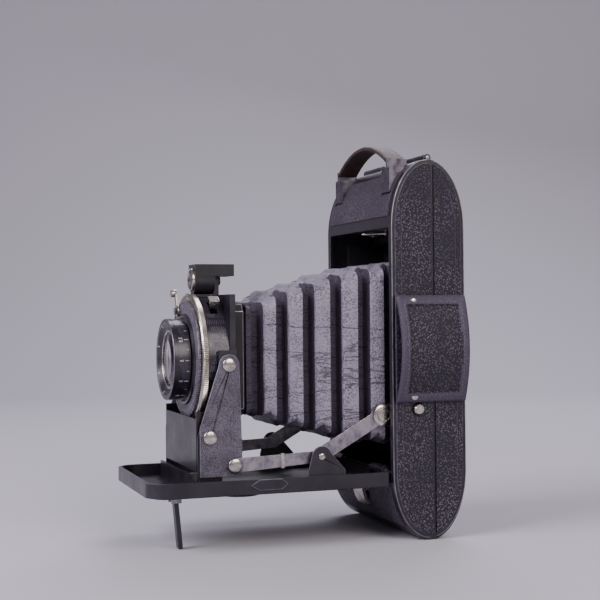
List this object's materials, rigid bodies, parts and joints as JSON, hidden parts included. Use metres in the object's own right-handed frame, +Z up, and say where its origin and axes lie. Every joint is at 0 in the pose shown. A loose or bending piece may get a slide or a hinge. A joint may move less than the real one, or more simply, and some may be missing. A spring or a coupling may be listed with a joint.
{
  "type": "folding roll-film camera",
  "caption": "Folding bellows camera with rounded ends, drop bed, self-erecting lens standard, leaf shutter and swing-out back.",
  "frame": {"origin": "centre of the narrow resting flat at the lower rounded end of the body", "axes": "+Z up along the body's length, the lens looks along -Y, +X towards the side with the carrying handle"},
  "size_m": [0.1004, 0.1496, 0.1815],
  "materials": {
    "aluminium": "dull aluminium",
    "bellows_leather": "creased bellows leather",
    "black_enamel": "satin black stoving enamel",
    "blackened_brass": "crackle black on brass",
    "brown_leather": "worn dark brown leather",
    "grain_leather": "pebbled black leather",
    "mirror": "silvered mirror",
    "nickel": "worn nickel plate",
    "optical_glass": "coated optical glass",
    "red_glass": "ruby window",
    "steel": "brushed steel"
  },
  "bodies": {
    "body": {"body_shell": "black_enamel", "film_gate": "black_enamel", "film_rollers": "steel", "spool_bearings": "steel", "bed_hinge_pins": "nickel", "back_hinge_pin": "nickel", "strut_lugs": "black_enamel", "front_leathers": "grain_leather", "side_leathers": "grain_leather", "carry_handle": "grain_leather", "handle_rivets": "nickel", "top_strap": "brown_leather", "strap_lugs": "nickel", "catch_spring": "steel", "latch_base": "nickel", "bellows": "bellows_leather"},
    "back": {"back_shell": "black_enamel", "back_leathers": "grain_leather", "red_window": "red_glass", "pressure_plate": "black_enamel", "pressure_springs": "steel"},
    "window_cover": {"window_cover": "black_enamel"},
    "back_latch": {"back_latch": "nickel"},
    "supply_spool": {"supply_spool": "aluminium"},
    "wind_key": {"wind_key": "blackened_brass", "take_up_spool": "aluminium"},
    "bed_button": {"bed_release_button": "nickel"},
    "bed": {"bed_tray": "black_enamel", "bed_leather": "grain_leather", "tripod_bush": "nickel", "bed_bracket": "black_enamel", "bed_ears": "blackened_brass", "bed_rivets": "nickel", "leg_bracket": "steel"},
    "leg": {"stand_leg": "steel"},
    "arms": {"arms": "blackened_brass", "link_rivets": "nickel"},
    "links": {"links": "nickel"},
    "struts": {"struts": "nickel"},
    "standard": {"standard_frame": "black_enamel", "standard_rivets": "nickel", "bellows_frame": "black_enamel", "shutter_case": "blackened_brass", "scale_plate": "blackened_brass", "lens_tube": "black_enamel", "rear_lens_cell": "steel", "rear_lens": "optical_glass", "shutter_blades": "steel", "iris": "steel", "finder_bracket": "black_enamel"},
    "focus": {"focus_ring": "blackened_brass", "lens_ring": "nickel", "front_lens": "optical_glass"},
    "speed_ring": {"speed_ring": "nickel"},
    "shutter_release": {"shutter_release": "nickel"},
    "aperture_lever": {"aperture_lever": "nickel"},
    "cocking_lever": {"cocking_lever": "nickel"},
    "finder": {"finder_body": "blackened_brass", "finder_lenses": "optical_glass", "finder_mirror": "mirror"}
  },
  "joints": [
    {"name": "bed_fold", "type": "hinge", "parent": "body", "child": "bed", "pos_m": [0, -0.0185, 0.031], "axis": [-1, 0, 0], "range_deg": [0, 90], "deforming": ["bellows"]},
    {"name": "arm_swing", "type": "hinge", "parent": "bed", "child": "arms", "pos_m": [0, -0.1001, 0.0489], "axis": [-1, 0, 0], "range_deg": [0, 75]},
    {"name": "standard_swing", "type": "hinge", "parent": "arms", "child": "standard", "pos_m": [0, -0.0913, 0.0802], "axis": [-1, 0, 0], "range_deg": [-165, 0]},
    {"name": "link_swing", "type": "hinge", "parent": "arms", "child": "links", "pos_m": [0, -0.0892, 0.0365], "axis": [-1, 0, 0], "range_deg": [-75, 0]},
    {"name": "strut_swing", "type": "hinge", "parent": "body", "child": "struts", "pos_m": [0, -0.0204, 0.0561], "axis": [-1, 0, 0], "range_deg": [0, 121.4]},
    {"name": "leg_fold", "type": "hinge", "parent": "bed", "child": "leg", "pos_m": [0.019, -0.113, 0.0221], "axis": [1, 0, 0], "range_deg": [0, 85]},
    {"name": "focus_turn", "type": "hinge", "parent": "standard", "child": "focus", "pos_m": [0, -0.108, 0.082], "axis": [0, -1, 0], "range_deg": [0, 250]},
    {"name": "speed_ring_turn", "type": "hinge", "parent": "standard", "child": "speed_ring", "pos_m": [0, -0.101, 0.082], "axis": [0, -1, 0], "range_deg": [0, 110]},
    {"name": "aperture_turn", "type": "hinge", "parent": "standard", "child": "aperture_lever", "pos_m": [0, -0.0946, 0.082], "axis": [0, -1, 0], "range_deg": [-6, 6]},
    {"name": "shutter_release_press", "type": "hinge", "parent": "standard", "child": "shutter_release", "pos_m": [0, -0.0946, 0.082], "axis": [0, 1, 0], "range_deg": [0, 6], "stiffness_Nm_per_rad": 0.02, "springref_deg": -11.46},
    {"name": "cocking_turn", "type": "hinge", "parent": "standard", "child": "cocking_lever", "pos_m": [-0.0095, -0.105, 0.1038], "axis": [0, 1, 0], "range_deg": [0, 35], "stiffness_Nm_per_rad": 0.005, "springref_deg": -17.19},
    {"name": "finder_turn", "type": "hinge", "parent": "standard", "child": "finder", "pos_m": [0, -0.095, 0.1176], "axis": [0, 1, 0], "range_deg": [0, 90]},
    {"name": "back_swing", "type": "hinge", "parent": "body", "child": "back", "pos_m": [0, 0.002, 0.1728], "axis": [1, 0, 0], "range_deg": [0, 100]},
    {"name": "latch_lift", "type": "hinge", "parent": "body", "child": "back_latch", "pos_m": [0, -0.0183, 0.0206], "axis": [-1, 0, 0], "range_deg": [0, 30], "stiffness_Nm_per_rad": 0.01, "springref_deg": -17.19},
    {"name": "window_cover_swing", "type": "hinge", "parent": "back", "child": "window_cover", "pos_m": [0, 0.0195, 0.076], "axis": [0, 1, 0], "range_deg": [-70, 70]},
    {"name": "wind_key_turn", "type": "hinge", "parent": "body", "child": "wind_key", "pos_m": [-0.045, -0.001, 0.1546], "axis": [1, 0, 0], "continuous": true},
    {"name": "supply_spin", "type": "hinge", "parent": "body", "child": "supply_spool", "pos_m": [0, -0.001, 0.0174], "axis": [1, 0, 0], "continuous": true},
    {"name": "bed_button_press", "type": "slide", "parent": "body", "child": "bed_button", "axis": [-1, 0, 0], "range_m": [0, 0.0014], "stiffness_N_per_m": 400, "springref_m": -0.0008}
  ],
  "couplings": [
    {"joint": "arm_swing", "follows": "bed_fold", "ratio": 0.83333},
    {"joint": "standard_swing", "follows": "bed_fold", "ratio": -1.8333},
    {"joint": "link_swing", "follows": "bed_fold", "ratio": -0.83333},
    {"joint": "strut_swing", "follows": "bed_fold", "ratio": 1.3489}
  ]
}
